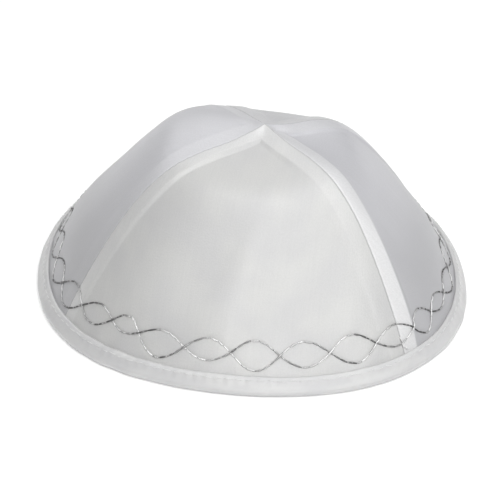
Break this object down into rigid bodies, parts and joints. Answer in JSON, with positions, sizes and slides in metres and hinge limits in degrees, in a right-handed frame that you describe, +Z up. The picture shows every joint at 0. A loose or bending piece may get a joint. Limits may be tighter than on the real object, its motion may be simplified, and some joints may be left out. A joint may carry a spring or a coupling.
{
  "type": "kippah skullcap",
  "caption": "Shallow domed skullcap of triangular satin gores meeting in a small point, with a folded binding round its rim.",
  "frame": {"origin": "on the surface the cap stands on, under the middle of the rim's bounding box", "axes": "+Z up through the crown; the front gore faces -Y and the right gore +X, as the cap is seen from the front"},
  "size_m": [0.1658, 0.1722, 0.0639],
  "materials": {
    "white_satin": "white satin with a soft sheen",
    "satin_binding": "white satin bias tape, folded and top-stitched",
    "silver_thread": "metallic silver embroidery thread",
    "white_thread": "white sewing thread"
  },
  "bodies": {
    "root": {"gore_front": "white_satin", "gore_right": "white_satin", "gore_back": "white_satin", "gore_left": "white_satin", "rim_binding": "satin_binding"}
  },
  "joints": []
}
